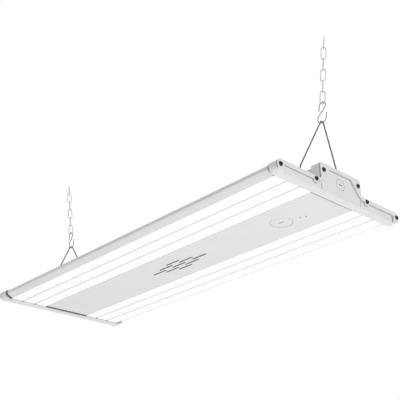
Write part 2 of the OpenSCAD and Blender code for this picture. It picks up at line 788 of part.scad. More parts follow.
// A welded link, standing on its lower bend's wire, in the X-Z plane
link_straight = link_len + link_wire_d - 2 * link_r;
function link_z(k) = hook_top - hook_wire_d / 2 - link_wire_d / 2 - hook_gap + (k - 1) * (link_len - wire_gap);
module link_flat() {
    translate([0, 0, link_r]) {
        bend(link_r, link_wire_d, 180, 360);
        translate([0, 0, link_straight]) bend(link_r, link_wire_d, 0, 180);
        for (s = [-1, 1]) run([s * link_r, 0, 0], [s * link_r, 0, link_straight], link_wire_d);
    }
}
module chain_link(e, k) {
    color("lightgray") hang(e) translate([0, 0, link_z(k)])
        rotate([0, 0, chain_turn + (k % 2 == 1 ? 0 : 90)]) link_flat();
}

wing(-1);  // wing_left
wing(1);  // wing_right
driver_channel();
center_panel();
sensor_port_plug();
end_cap(-1);  // end_cap_left
end_cap(1);  // end_cap_right
cord_grommet();
entry_plug(1);  // entry_plug_right
cap_screws(-1);  // cap_screws_left
cap_screws(1);  // cap_screws_right
channel_screws();
diffuser(-1, 0);  // diffuser_left_inner
diffuser(-1, 1);  // diffuser_left_middle
diffuser(-1, 2);  // diffuser_left_outer
diffuser(1, 0);  // diffuser_right_inner
diffuser(1, 1);  // diffuser_right_middle
diffuser(1, 2);  // diffuser_right_outer
led_board(-1, 0);  // led_board_left_inner
led_board(-1, 1);  // led_board_left_middle
led_board(-1, 2);  // led_board_left_outer
led_board(1, 0);  // led_board_right_inner
led_board(1, 1);  // led_board_right_middle
led_board(1, 2);  // led_board_right_outer
led_driver();
driver_screws();
terminal_block();
mains_leads();
board_connectors();
board_leads();
v_hanger(-1);  // v_hanger_left
v_hanger(1);  // v_hanger_right
s_hook(-1);  // s_hook_left
s_hook(1);  // s_hook_right
for (k = [1:links]) {
    chain_link(-1, k);
    chain_link(1, k);
}
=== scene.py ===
"""Looks for the hanging shop light: an LED high-bay with two finned wings, a driver
channel, stepped end caps, lit diffusers, wire V hangers, S hooks and welded chain.
Metres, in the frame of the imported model: X along the light, Z up."""

import json
import math

import bpy
from mathutils import Matrix, Vector


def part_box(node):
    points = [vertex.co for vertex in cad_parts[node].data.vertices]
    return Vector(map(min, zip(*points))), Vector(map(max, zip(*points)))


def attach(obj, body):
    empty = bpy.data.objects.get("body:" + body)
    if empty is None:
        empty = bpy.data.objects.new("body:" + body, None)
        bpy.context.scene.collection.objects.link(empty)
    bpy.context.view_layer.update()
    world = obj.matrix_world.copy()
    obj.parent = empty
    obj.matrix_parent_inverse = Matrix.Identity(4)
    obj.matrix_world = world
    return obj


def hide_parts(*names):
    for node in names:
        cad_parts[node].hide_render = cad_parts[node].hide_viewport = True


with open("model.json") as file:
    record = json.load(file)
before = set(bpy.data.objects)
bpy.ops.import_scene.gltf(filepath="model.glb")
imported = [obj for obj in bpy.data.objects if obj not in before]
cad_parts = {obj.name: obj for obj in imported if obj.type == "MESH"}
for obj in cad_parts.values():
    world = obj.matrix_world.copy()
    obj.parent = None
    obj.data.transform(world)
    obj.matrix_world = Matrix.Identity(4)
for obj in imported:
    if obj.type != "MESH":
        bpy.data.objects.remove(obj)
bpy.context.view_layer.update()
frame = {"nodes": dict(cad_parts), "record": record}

bl_info = {
    "name": "Hanging Shop Light",
    "version": (1, 0),
    "blender": (4, 5, 0),
    "location": "View3D > Sidebar > Shop Light",
    "description": "Builds the finished surfaces of a suspended linear shop light",
    "category": "Add Mesh",
}

MM = 0.001
HOUSING = "housing"
SIDES = ("left", "right")
PLACES = ("inner", "middle", "outer")
ENDS = {"left": -1, "right": 1}
LINKS = 6


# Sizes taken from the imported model

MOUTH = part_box("end_cap_right")[0].x
CAP_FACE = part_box("end_cap_right")[1].x
LENS_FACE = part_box("diffuser_right_inner")[0].z
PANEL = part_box("center_panel")
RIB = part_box("diffuser_right_middle")[0].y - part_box("diffuser_right_inner")[1].y
RIB_SIDES = [(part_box(f"diffuser_right_{inner}")[1].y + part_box(f"diffuser_right_{outer}")[0].y) / 2
             for inner, outer in (("inner", "middle"), ("middle", "outer"))]
RAIL_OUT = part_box("wing_right")[1].y
JOINTS = {joint["name"]: joint for joint in frame["record"]["behaviour"]["joints"]}

# The rows of vent slots in the panel, counted from the middle one
VENT_ROWS = 2
VENT_PITCH = 6.4 * MM
VENT_WIDTH = 2.4 * MM
VENT_REACH = 150 * MM

# The foam seal strips at the caps' mouths, dark grey so that they also stand in for the shadow gap
# there
SEAL_THICK = 0.9 * MM
SEAL_SUNK = 0.15 * MM
RIB_SEAL = 3.2 * MM
RAIL_SEAL = 0.4 * MM

# The screwdriver slot in the sensor port's plug: the model's length and width, and the
# length that it gets here
SLOT = (6 * MM, 1.6 * MM)
LONG_SLOT = 8.4 * MM

# The rail's outline, outwards from the last diffuser and up from its face
RAIL_WIDTH = 10 * MM
RAIL_STEPS = ((0, 0), (8 * MM, 3.7 * MM), (RAIL_WIDTH, 5.5 * MM), (RAIL_WIDTH, 9.9 * MM))

# The hanging gear, upright, from the V hanger's pivot; a WIRE is a radius
VEE_WIRE = 1.0 * MM
VEE_FOOT = 30.7 * MM
VEE_LEG = 40.7 * MM
VEE_RISE = 9 * MM
VEE_BENDS = (2.4 * MM, 12 * MM, 3.6 * MM)
HOOK_WIRE = 0.8 * MM
HOOK_GAP = 0.3 * MM
HOOK_BOWL = 7 * MM
HOOK_ARCH = 5.4 * MM
HOOK_SPAN = 18.2 * MM
HOOK_TIP = 7 * MM
LINK_WIRE = 0.8 * MM
LINK_BEND = 3.3 * MM
LINK_STRAIGHT = 12 * MM
LINK_TURN = 45
LINK_SEGMENTS = (28, 12)
WELD_CUTS = (-0.9 * MM, -0.5 * MM, 0, 0.5 * MM, 0.9 * MM)
WELD_REACH = 0.6 * MM
WELD_SWELL = 1.14

# Modelling: merged points, triangles taken for one flat face, and what counts as in line
MERGE = 0.002 * MM
FLAT = math.radians(0.5)
CLOSE = 0.05 * MM
NEAR = 0.02 * MM
SHARP = math.radians(35)
TIP_SHARP = math.radians(60)
TIP_ROUND = 0.6
BEND_STEP = math.radians(12)
BAND_SIDES = 12
BAND_BEND = 1.2 * MM

# Rounding of the small pieces' edges
SHEET_EDGE = 0.15 * MM
PLUG_EDGE = 0.2 * MM
CAP_EDGE = 0.25 * MM
GROMMET_EDGE = 0.5 * MM
CAP_SCREW_EDGE = 0.15 * MM
SMALL_SCREW_EDGE = 0.12 * MM

# Materials: how far up from its outer face a diffuser glows and a board's chips are yellow
LIT_DEPTH = 0.3 * MM
CHIP_DEPTH = 0.5 * MM
# The reach of the painted shade in grooves, and the leads' furthest place from the middle,
# both in millimetres
SHADE_REACH = 2.0
SHADE_SAMPLES = 12
LEADS_REACH = 20
REFRACTION = 1.45

# The studio: floor, lamps (setting, place, aim and size) and the photograph's camera
FLOOR_SIZE = 14
LAMPS = (("under", (-0.15, -0.05, -1.3), (0, 0, 0), 1.8),
         ("top", (-0.6, 0.6, 1.4), (0, 0, 0), 1.2),
         ("end", (1.35, 0.05, -0.6), (0.2, 0, 0), 0.9))
CAMERA_PLACE = (0.8115186, -0.7388784, -0.4173986)
CAMERA_RIGHT = Vector((0.68695028, 0.72628209, -0.02477186))
CAMERA_UP = Vector((0.32921701, -0.28063715, 0.90158691))
CAMERA_LENS = 71.078
CAMERA_SENSOR = 36
CAMERA_NEAR = 0.02


# Settings that a user would change

class ShopLightHousing(bpy.types.PropertyGroup):
    """Colours, glow, rounded edges and seals of the housing"""
    coat: bpy.props.FloatVectorProperty(
        name="Coat", description="Colour of the powder coat on the wings, channel and panel",
        default=(0.80, 0.80, 0.795), subtype="COLOR", min=0, max=1)
    cap: bpy.props.FloatVectorProperty(
        name="Cap plastic", description="Colour of the moulded end caps and plugs",
        default=(0.80, 0.80, 0.79), subtype="COLOR", min=0, max=1)
    lens: bpy.props.FloatVectorProperty(
        name="Opal", description="Colour of the opal diffusers",
        default=(0.88, 0.88, 0.88), subtype="COLOR", min=0, max=1)
    glow: bpy.props.FloatProperty(
        name="Glow", description="Strength of the light that the diffusers give",
        default=0.18, min=0, max=5)
    cap_round: bpy.props.FloatProperty(
        name="Cap rounding", description="Rounding of the end caps' outer edges",
        default=1.0 * MM, min=0.2 * MM, max=1.05 * MM, unit="LENGTH")
    coat_edge: bpy.props.FloatProperty(
        name="Coated edges", description="Rounding of the coated sheet's and wings' edges",
        default=0.25 * MM, min=0.05 * MM, max=0.5 * MM, unit="LENGTH")
    lens_edge: bpy.props.FloatProperty(
        name="Lens edges", description="Rounding of the diffusers' long edges",
        default=0.5 * MM, min=0.1 * MM, max=0.7 * MM, unit="LENGTH")
    vent: bpy.props.FloatProperty(
        name="Vents", description="Width of the panel's vent slots at their rounded edges",
        default=3.0 * MM, min=2.4 * MM, max=3.6 * MM, unit="LENGTH")
    seal: bpy.props.FloatProperty(
        name="Seal", description="Width of the foam seal under the end caps' mouths",
        default=4.0 * MM, min=2 * MM, max=6 * MM, unit="LENGTH")


class ShopLightHanging(bpy.types.PropertyGroup):
    """Colours and roundness of the hanging gear's wire"""
    vee: bpy.props.FloatVectorProperty(
        name="V wire", description="Colour of the V hangers' wire",
        default=(0.16, 0.16, 0.165), subtype="COLOR", min=0, max=1)
    hook: bpy.props.FloatVectorProperty(
        name="Hook wire", description="Colour of the S hooks' wire",
        default=(0.40, 0.40, 0.41), subtype="COLOR", min=0, max=1)
    chain: bpy.props.FloatVectorProperty(
        name="Chain", description="Colour of the chain's zinc",
        default=(0.61, 0.62, 0.63), subtype="COLOR", min=0, max=1)
    wire_sides: bpy.props.IntProperty(
        name="Wire sides", description="Number of sides round a wire",
        default=16, min=8, max=32)


class ShopLightStage(bpy.types.PropertyGroup):
    """Lights and floor of the studio"""
    dome: bpy.props.FloatProperty(
        name="Dome", description="Strength of the studio's soft light from all round",
        default=0.6, min=0, max=2)
    under: bpy.props.FloatProperty(
        name="Under light", description="Power of the soft box under the light",
        default=8.1, min=0, max=100, subtype="POWER")
    end: bpy.props.FloatProperty(
        name="End light", description="Power of the soft box low off the near end",
        default=6.3, min=0, max=100, subtype="POWER")
    top: bpy.props.FloatProperty(
        name="Top light", description="Power of the soft box above and behind",
        default=10.0, min=0, max=100, subtype="POWER")
    pale: bpy.props.FloatProperty(
        name="Pale floor", description="How much the camera sees the floor paler than it is lit",
        default=0.3, min=0, max=1, subtype="FACTOR")
    floor_z: bpy.props.FloatProperty(
        name="Floor", description="Height of the floor below the light",
        default=-1.9, min=-4, max=-1, unit="LENGTH")


# Modelling helpers

def choose(*objects):
    """Selects only these objects, the last one active."""
    bpy.ops.object.select_all(action="DESELECT")
    for o in objects:
        o.select_set(True)
        bpy.context.view_layer.objects.active = o


def pick(piece, what, test):
    """In edit mode, selects only the vertices, edges or faces that pass the test."""
    bpy.ops.mesh.select_mode(type=what)
    bpy.ops.mesh.select_all(action="DESELECT")
    bpy.ops.object.mode_set(mode="OBJECT")
    data = piece.data
    items = {"VERT": data.vertices, "EDGE": data.edges, "FACE": data.polygons}[what]
    for item in items:
        item.select = bool(test(item))
    bpy.ops.object.mode_set(mode="EDIT")


def apply_modifier(piece, kind, **values):
    """Adds a modifier, sets its values and applies it."""
    choose(piece)
    modifier = piece.modifiers.new(kind.title(), kind)
    for name, value in values.items():
        setattr(modifier, name, value)
    bpy.ops.object.modifier_apply(modifier=modifier.name)


def smooth(piece, angle=30):
    """Smooths the shading over edges that turn by less than an angle."""
    choose(piece)
    bpy.ops.object.shade_smooth_by_angle(angle=math.radians(angle))


class Wire:
    """A round wire swept through straight runs and bends in the X-Z plane."""

    def __init__(self, radius, start, heading, sides, flat=1):
        """Starts at (x, z), heading at an angle from +X towards +Z. A flat band is as
        many times wider, across the bends, as it is thick."""
        self.radius, self.at, self.heading = radius, Vector(start), heading
        bpy.ops.object.select_all(action="DESELECT")
        bpy.ops.mesh.primitive_circle_add(
            vertices=sides, radius=radius, location=(start[0], 0, start[1]),
            rotation=(0, math.pi / 2 - heading, 0))
        self.piece = bpy.context.object
        bpy.ops.object.transform_apply(location=True, rotation=True, scale=True)
        bpy.ops.object.mode_set(mode="EDIT")
        bpy.ops.mesh.select_all(action="SELECT")
        bpy.ops.transform.resize(value=(1, flat, 1),
                                 center_override=(start[0], 0, start[1]))

    def run(self, length):
        """Goes straight on."""
        step = Vector((math.cos(self.heading), math.sin(self.heading))) * length
        self.at = self.at + step
        bpy.ops.mesh.extrude_region_move(
            TRANSFORM_OT_translate={"value": (step.x, 0, step.y)})

    def bend(self, radius, turn):
        """Turns towards +Z from +X by an angle, or the other way if it is negative."""
        side = math.copysign(radius, turn)
        left = Vector((-math.sin(self.heading), math.cos(self.heading)))
        centre = self.at + left * side
        steps = max(2, math.ceil(abs(turn) / BEND_STEP))
        bpy.ops.mesh.spin(steps=steps, angle=turn, center=(centre.x, 0, centre.y),
                          axis=(0, 1, 0))
        self.heading += turn
        left = Vector((-math.sin(self.heading), math.cos(self.heading)))
        self.at = centre - left * side

    def through(self, corners, end):
        """Runs by way of corners, each a place and a bend's radius, to an end."""
        places = [Vector(place) for place, radius in corners] + [Vector(end)]
        for (_, radius), place, onwards in zip(corners, places, places[1:]):
            ahead = onwards - place
            turn = math.atan2(ahead.y, ahead.x) - self.heading
            turn = (turn + math.pi) % (2 * math.pi) - math.pi
            cut = radius * math.tan(abs(turn) / 2)
            self.run((place - self.at).length - cut)
            self.bend(radius, turn)
        self.run((places[-1] - self.at).length)

    def finish(self, name):
        """Closes and rounds the wire's tips."""
        bpy.ops.mesh.select_all(action="SELECT")
        bpy.ops.mesh.remove_doubles(threshold=MERGE)
        bpy.ops.mesh.fill_holes(sides=0)
        bpy.ops.mesh.select_all(action="SELECT")
        bpy.ops.mesh.normals_make_consistent(inside=False)
        bpy.ops.object.mode_set(mode="OBJECT")
        apply_modifier(self.piece, "BEVEL", width=self.radius * TIP_ROUND, segments=4,
                       limit_method="ANGLE", angle_limit=TIP_SHARP)
        smooth(self.piece, 40)
        self.piece.name = name
        return self.piece


def place(piece, matrix):
    """Puts a piece at a place and writes that into its mesh."""
    piece.matrix_world = matrix
    choose(piece)
    bpy.ops.object.transform_apply(location=True, rotation=True, scale=True)


def copy_of(piece, name, matrix):
    """A copy with a mesh of its own, moved in its mesh."""
    copy = bpy.data.objects.new(name, piece.data.copy())
    bpy.context.scene.collection.objects.link(copy)
    copy.data.transform(matrix)
    if matrix.determinant() < 0:
        copy.data.flip_normals()
    return copy


def finish_piece(piece, name, body, slot, material, *nodes):
    """Names a piece, paints it and ties it to its body and CAD nodes; the slot is not used."""
    piece.name = piece.data.name = name
    piece.data.materials.clear()
    piece.data.materials.append(material)
    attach(piece, body)
    if nodes:
        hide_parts(*nodes)


def merged(node, name):
    """A copy of a CAD node with its doubles and its flat triangles merged."""
    piece = bpy.data.objects.new(name, frame["nodes"][node].data.copy())
    bpy.context.scene.collection.objects.link(piece)
    choose(piece)
    if piece.data.has_custom_normals:
        bpy.ops.mesh.customdata_custom_splitnormals_clear()
    bpy.ops.object.mode_set(mode="EDIT")
    bpy.ops.mesh.select_all(action="SELECT")
    bpy.ops.mesh.remove_doubles(threshold=MERGE)
    bpy.ops.mesh.dissolve_limited(angle_limit=FLAT)
    bpy.ops.object.mode_set(mode="OBJECT")
    return piece


def lengthen_slot(piece, node):
    """Lengthens the screwdriver slot in the middle of a plug that faces down."""
    low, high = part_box(node)
    middle = (low + high) / 2
    half_length, half_width = SLOT[0] / 2, SLOT[1] / 2
    choose(piece)
    bpy.ops.object.mode_set(mode="EDIT")
    pick(piece, "VERT", lambda v: abs(abs(v.co.x - middle.x) - half_length) < CLOSE
         and abs(abs(v.co.y - middle.y) - half_width) < CLOSE)
    bpy.ops.transform.resize(value=(LONG_SLOT / SLOT[0], 1, 1), center_override=middle)
    bpy.ops.object.mode_set(mode="OBJECT")
    return piece


def softened(node, name, edge, segments=2):
    """A merged copy of a CAD node with its sharp edges rounded."""
    return rounded(merged(node, name), edge, segments)


def rounded(piece, edge, segments=2):
    """Rounds a piece's sharp edges, and keeps its broad faces flat to the light."""
    apply_modifier(piece, "BEVEL", width=edge, segments=segments, limit_method="ANGLE",
                   angle_limit=SHARP)
    smooth(piece)
    apply_modifier(piece, "WEIGHTED_NORMAL", weight=100, keep_sharp=True)
    return piece


# Materials

class Paint:
    """Builds a material's nodes on Object coordinates, in millimetres."""

    def __init__(self, name, metallic=0.0):
        """Starts a material with its shader and coordinates."""
        self.material = bpy.data.materials.new(name)
        self.material.use_nodes = True
        self.nodes = self.material.node_tree.nodes
        self.links = self.material.node_tree.links
        self.nodes.clear()
        output = self.nodes.new("ShaderNodeOutputMaterial")
        self.shader = self.nodes.new("ShaderNodeBsdfPrincipled")
        self.links.new(self.shader.outputs["BSDF"], output.inputs["Surface"])
        self.shader.inputs["Metallic"].default_value = metallic
        self.shader.inputs["IOR"].default_value = REFRACTION
        coordinates = self.nodes.new("ShaderNodeTexCoord")
        scaled = self.nodes.new("ShaderNodeMapping")
        scaled.inputs["Scale"].default_value = (1 / MM,) * 3
        self.links.new(coordinates.outputs["Object"], scaled.inputs["Vector"])
        self.place = scaled.outputs["Vector"]
        self.heights = None

    def stretched(self, scale):
        """The place on the piece, scaled along each axis."""
        node = self.nodes.new("ShaderNodeMapping")
        node.inputs["Scale"].default_value = scale
        self.links.new(self.place, node.inputs["Vector"])
        return node.outputs["Vector"]

    def noise(self, size, detail=2, stretch=None, roughness=0.5):
        """Noise whose features are about this many millimetres."""
        node = self.nodes.new("ShaderNodeTexNoise")
        node.inputs["Scale"].default_value = 1 / size
        node.inputs["Detail"].default_value = detail
        node.inputs["Roughness"].default_value = roughness
        self.links.new(self.stretched(stretch) if stretch else self.place, node.inputs["Vector"])
        return node.outputs["Fac"]

    def ramp(self, source, stops):
        """Colours a value by its stops, each a position and a colour."""
        node = self.nodes.new("ShaderNodeValToRGB")
        bar = node.color_ramp
        while len(bar.elements) < len(stops):
            bar.elements.new(0.5)
        for element, (at, colour) in zip(bar.elements, stops):
            element.position = at
            element.color = (*colour, 1)
        self.links.new(source, node.inputs["Fac"])
        return node.outputs["Color"]

    def spread(self, source, low, high):
        """Maps a value from 0 to 1 onto low to high."""
        node = self.nodes.new("ShaderNodeMapRange")
        node.inputs["To Min"].default_value = low
        node.inputs["To Max"].default_value = high
        self.links.new(source, node.inputs["Value"])
        return node.outputs["Result"]

    def edges(self, sharp, soft):
        """1 on outer edges, from the surface's pointiness, and 0 elsewhere."""
        geometry = self.nodes.new("ShaderNodeNewGeometry")
        node = self.nodes.new("ShaderNodeMapRange")
        node.inputs["From Min"].default_value = sharp
        node.inputs["From Max"].default_value = soft
        self.links.new(geometry.outputs["Pointiness"], node.inputs["Value"])
        return node.outputs["Result"]

    def painted_crevice_shade(self, colour, deep, full=0.45):
        """Paints shade into a colour in grooves and corners: darkens it to a share of it where
        less than another share of the sky shows."""
        node = self.nodes.new("ShaderNodeAmbientOcclusion")
        node.samples = SHADE_SAMPLES
        node.inputs["Distance"].default_value = SHADE_REACH * MM
        shadow = self.ramp(node.outputs["AO"], [(full, (deep,) * 3), (0.95, (1, 1, 1))])
        blend = self.nodes.new("ShaderNodeMix")
        blend.data_type, blend.blend_type = "RGBA", "MULTIPLY"
        blend.inputs["Factor"].default_value = 1
        self.links.new(colour, blend.inputs[6])
        self.links.new(shadow, blend.inputs[7])
        return blend.outputs[2]

    def below(self, height):
        """1 below a height, in millimetres, and 0 above it."""
        node = self.nodes.new("ShaderNodeMath")
        node.operation = "LESS_THAN"
        node.inputs[1].default_value = height
        self.links.new(self.along("Z"), node.inputs[0])
        return node.outputs[0]

    def mix(self, factor, first, second):
        """Goes from a first to a second colour, each linked or plain, by a linked factor."""
        node = self.nodes.new("ShaderNodeMix")
        node.data_type = "RGBA"
        for socket, value in ((node.inputs["Factor"], factor), (node.inputs[6], first),
                              (node.inputs[7], second)):
            if isinstance(value, bpy.types.NodeSocket):
                self.links.new(value, socket)
            else:
                socket.default_value = (*value, 1)
        return node.outputs[2]

    def times(self, first, second):
        """Multiplies two values, each linked or plain."""
        node = self.nodes.new("ShaderNodeMath")
        node.operation = "MULTIPLY"
        for socket, value in zip(node.inputs, (first, second)):
            if isinstance(value, bpy.types.NodeSocket):
                self.links.new(value, socket)
            else:
                socket.default_value = value
        return node.outputs[0]

    def along(self, axis):
        """The place along one axis, in millimetres."""
        node = self.nodes.new("ShaderNodeSeparateXYZ")
        self.links.new(self.place, node.inputs["Vector"])
        return node.outputs[axis]

    def bump(self, source, height):
        """Raises the surface by up to this many millimetres."""
        node = self.nodes.new("ShaderNodeBump")
        node.inputs["Strength"].default_value = 1
        node.inputs["Distance"].default_value = height * MM
        self.links.new(source, node.inputs["Height"])
        if self.heights:
            self.links.new(self.heights, node.inputs["Normal"])
        self.heights = node.outputs["Normal"]

    def done(self, colour, roughness=None):
        """Links the colour and, where they are given, the roughness and the bumps."""
        self.links.new(colour, self.shader.inputs["Base Color"])
        if roughness:
            self.links.new(roughness, self.shader.inputs["Roughness"])
        if self.heights:
            self.links.new(self.heights, self.shader.inputs["Normal"])
        return self.material


def shade(colour, share):
    """A share of a colour's light."""
    return tuple(c * share for c in colour)


def powder_coat(name, colour, deep=0.55, full=0.45):
    """Smooth powder coat: orange peel a few millimetres across, faint clouding, and
    painted shade in grooves and corners."""
    paint = Paint(name)
    cloud = paint.noise(45, detail=3)
    peel = paint.noise(1.6, detail=1)
    colour = paint.ramp(cloud, [(0.3, shade(colour, 0.975)), (0.7, colour)])
    # Painted shade: the coat is darkened where grooves and corners hide the sky
    colour = paint.painted_crevice_shade(colour, deep, full)
    paint.bump(peel, 0.02)
    paint.bump(paint.noise(9, detail=1), 0.02)
    return paint.done(colour, paint.spread(peel, 0.52, 0.64))


def moulded_plastic(name, colour):
    """Moulded plastic with a fine spark-eroded grain, faint flow marks and painted shade in grooves
    and corners.
    """
    paint = Paint(name)
    marks = paint.noise(14, detail=2, stretch=(1, 0.25, 1))
    fine = paint.noise(0.35, detail=2, roughness=0.6)
    colour = paint.ramp(marks, [(0.3, shade(colour, 0.98)), (0.7, colour)])
    # Painted shade in the caps' grooves, steps and recesses
    colour = paint.painted_crevice_shade(colour, 0.42)
    paint.bump(fine, 0.012)
    return paint.done(colour, paint.spread(fine, 0.46, 0.6))


def opal(name, colour, glow):
    """Opal plastic lit from behind, with the light on its outer face alone."""
    paint = Paint(name)
    haze = paint.noise(30, detail=2)
    tint = paint.ramp(haze, [(0.3, shade(colour, 0.985)), (0.7, colour)])
    paint.bump(paint.noise(0.5, detail=1), 0.006)
    lit = paint.mix(paint.below((LENS_FACE + LIT_DEPTH) / MM), (0, 0, 0), (1, 1, 1))
    paint.links.new(lit, paint.shader.inputs["Emission Color"])
    paint.shader.inputs["Emission Strength"].default_value = glow
    return paint.done(tint, paint.spread(haze, 0.42, 0.5))


def wire(name, colour, roughness=0.36):
    """Zinc plated wire with clouding and small dull spots."""
    paint = Paint(name, metallic=1.0)
    cloud = paint.noise(3.5, detail=3)
    spots = paint.noise(0.7, detail=2, roughness=0.7)
    tint = paint.ramp(cloud, [(0.25, shade(colour, 0.82)), (0.75, shade(colour, 1.12))])
    tint = paint.mix(paint.spread(spots, -0.5, 0.7), tint, shade(colour, 0.7))
    paint.bump(spots, 0.015)
    return paint.done(tint, paint.spread(cloud, roughness - 0.06, roughness + 0.1))


def oxide_screw(name):
    """Black oxide, worn to bare steel on the head's edges."""
    paint = Paint(name, metallic=0.85)
    grain = paint.noise(0.25, detail=2)
    wear = paint.times(paint.edges(0.53, 0.62), paint.spread(paint.noise(0.8), 0.0, 1.3))
    tint = paint.mix(wear, (0.032, 0.031, 0.03), (0.17, 0.168, 0.165))
    paint.bump(grain, 0.008)
    return paint.done(tint, paint.spread(grain, 0.38, 0.58))


def zinc_screw(name):
    """Bright zinc plate, faintly clouded."""
    paint = Paint(name, metallic=1.0)
    cloud = paint.noise(1.2, detail=3)
    tint = paint.ramp(cloud, [(0.3, (0.5, 0.5, 0.49)), (0.7, (0.68, 0.68, 0.66))])
    paint.bump(cloud, 0.01)
    return paint.done(tint, paint.spread(cloud, 0.25, 0.42))


def black_case_and_vent_shade(name):
    """Black anodised extrusion with drawing lines along it; its black also stands in for the shade
    inside the channel, seen through the panel's vents.
    """
    paint = Paint(name, metallic=0.6)
    lines = paint.noise(0.7, detail=2, stretch=(0.02, 1, 1))
    tint = paint.ramp(lines, [(0.3, (0.018, 0.018, 0.02)), (0.7, (0.034, 0.034, 0.037))])
    paint.bump(lines, 0.006)
    return paint.done(tint, paint.spread(lines, 0.32, 0.46))


def rubber(name, dark=(0.014, 0.014, 0.015), light=(0.035, 0.035, 0.037), cells=0.03):
    """Rubber or foam with a grain between two colours, raised by this many millimetres."""
    paint = Paint(name)
    grain = paint.noise(0.4, detail=3, roughness=0.65)
    tint = paint.ramp(grain, [(0.3, dark), (0.8, light)])
    paint.bump(grain, cells)
    return paint.done(tint, paint.spread(grain, 0.55, 0.75))


def board_finish(name, chip_top):
    """White solder mask, and yellow phosphor on the chips' faces below it."""
    paint = Paint(name)
    grain = paint.noise(0.6, detail=2)
    mask = paint.ramp(grain, [(0.3, (0.78, 0.78, 0.76)), (0.7, (0.84, 0.84, 0.82))])
    tint = paint.mix(paint.below(chip_top / MM), mask, (0.82, 0.62, 0.12))
    paint.bump(grain, 0.006)
    return paint.done(tint, paint.spread(grain, 0.3, 0.45))


def sleeving(name, stops):
    """Extruded sleeving whose colour changes from lead to lead across the light."""
    paint = Paint(name)
    across = paint.spread(paint.along("Y"), 0, 1)
    across.node.inputs["From Min"].default_value = -LEADS_REACH
    across.node.inputs["From Max"].default_value = LEADS_REACH
    tint = paint.ramp(across, stops)
    tint.node.color_ramp.interpolation = "CONSTANT"
    grain = paint.noise(0.5, detail=2, stretch=(0.2, 1, 1))
    paint.bump(grain, 0.01)
    return paint.done(tint, paint.spread(grain, 0.35, 0.5))


def background_rays(nodes, links):
    """1 for the rays that show the background: the camera's, mirrored and let through."""
    path = nodes.new("ShaderNodeLightPath")
    seen = path.outputs["Is Camera Ray"]
    for ray in ("Is Glossy Ray", "Is Transmission Ray"):
        either = nodes.new("ShaderNodeMath")
        either.operation = "MAXIMUM"
        links.new(seen, either.inputs[0])
        links.new(path.outputs[ray], either.inputs[1])
        seen = either.outputs[0]
    return seen


# Pieces

class SHOPLIGHT_OT_stage(bpy.types.Operator):
    """Adds the floor, the studio's light and the camera at the photograph's angle"""
    bl_idname = "shop_light.stage"
    bl_label = "Stage"

    def execute(self, context):
        settings = context.scene.shop_light_stage
        self.lay_floor(settings)
        self.hang_backdrop(context, settings)
        for name, at, aim, size in LAMPS:
            self.lamp(f"{name}_lamp", getattr(settings, name), at, aim, size)
        self.set_camera(context)
        context.scene.view_settings.view_transform = "Standard"
        return {"FINISHED"}

    def lay_floor(self, settings):
        """A pale floor, paler to the rays that show the background, which keeps shadows."""
        bpy.ops.object.select_all(action="DESELECT")
        bpy.ops.mesh.primitive_plane_add(size=FLOOR_SIZE, location=(0, 0, settings.floor_z))
        floor = bpy.context.object
        floor.name = floor.data.name = "studio_floor"
        paint = Paint("studio_floor")
        grain = paint.noise(60, detail=3)
        paint.bump(paint.noise(4, detail=2), 0.05)
        tint = paint.ramp(grain, [(0.3, (0.80, 0.80, 0.80)), (0.7, (0.83, 0.83, 0.83))])
        paler = paint.times(background_rays(paint.nodes, paint.links), settings.pale)
        paint.links.new(tint, paint.shader.inputs["Emission Color"])
        paint.links.new(paler, paint.shader.inputs["Emission Strength"])
        floor.data.materials.append(paint.done(tint))

    def hang_backdrop(self, context, settings):
        """A soft dome of light that shows as white."""
        world = bpy.data.worlds.new("studio")
        context.scene.world = world
        world.use_nodes = True
        nodes, links = world.node_tree.nodes, world.node_tree.links
        nodes.clear()
        output = nodes.new("ShaderNodeOutputWorld")
        dome, backdrop = nodes.new("ShaderNodeBackground"), nodes.new("ShaderNodeBackground")
        dome.inputs["Color"].default_value = (1, 1, 1, 1)
        dome.inputs["Strength"].default_value = settings.dome
        backdrop.inputs["Color"].default_value = (1, 1, 1, 1)
        backdrop.inputs["Strength"].default_value = 1
        mix = nodes.new("ShaderNodeMixShader")
        links.new(background_rays(nodes, links), mix.inputs["Fac"])
        links.new(dome.outputs[0], mix.inputs[1])
        links.new(backdrop.outputs[0], mix.inputs[2])
        links.new(mix.outputs[0], output.inputs["Surface"])

    def set_camera(self, context):
        """The camera that took the photograph, solved from its straight edges."""
        bpy.ops.object.camera_add()
        camera = bpy.context.object
        camera.name = "photo_camera"
        camera.data.lens = CAMERA_LENS
        camera.data.sensor_width = CAMERA_SENSOR
        camera.data.clip_start = CAMERA_NEAR
        camera.location = CAMERA_PLACE
        back = CAMERA_RIGHT.cross(CAMERA_UP)
        turn = Matrix((CAMERA_RIGHT, CAMERA_UP, back)).transposed()
        camera.rotation_euler = turn.to_euler()
        context.scene.camera = camera

    def lamp(self, name, power, at, aim, size):
        """A square soft box that the camera doesn't see."""
        bpy.ops.object.light_add(type="AREA", location=at)
        lamp = bpy.context.object
        lamp.name = name
        lamp.data.energy = power
        lamp.data.size = size
        lamp.visible_camera = False
        direction = Vector(aim) - Vector(at)
        lamp.rotation_euler = direction.to_track_quat("-Z", "Y").to_euler()


class SHOPLIGHT_OT_wings(bpy.types.Operator):
    """Coats the two extruded wings and rounds their edges"""
    bl_idname = "shop_light.wings"
    bl_label = "Wings"

    def execute(self, context):
        settings = context.scene.shop_light_housing
        coat = powder_coat("wing_powder_coat", settings.coat)
        for side in SIDES:
            piece = softened(f"wing_{side}", "wing", settings.coat_edge)
            finish_piece(piece, f"coated_wing_{side}", HOUSING, "housing_paint", coat,
                         f"wing_{side}")
        return {"FINISHED"}


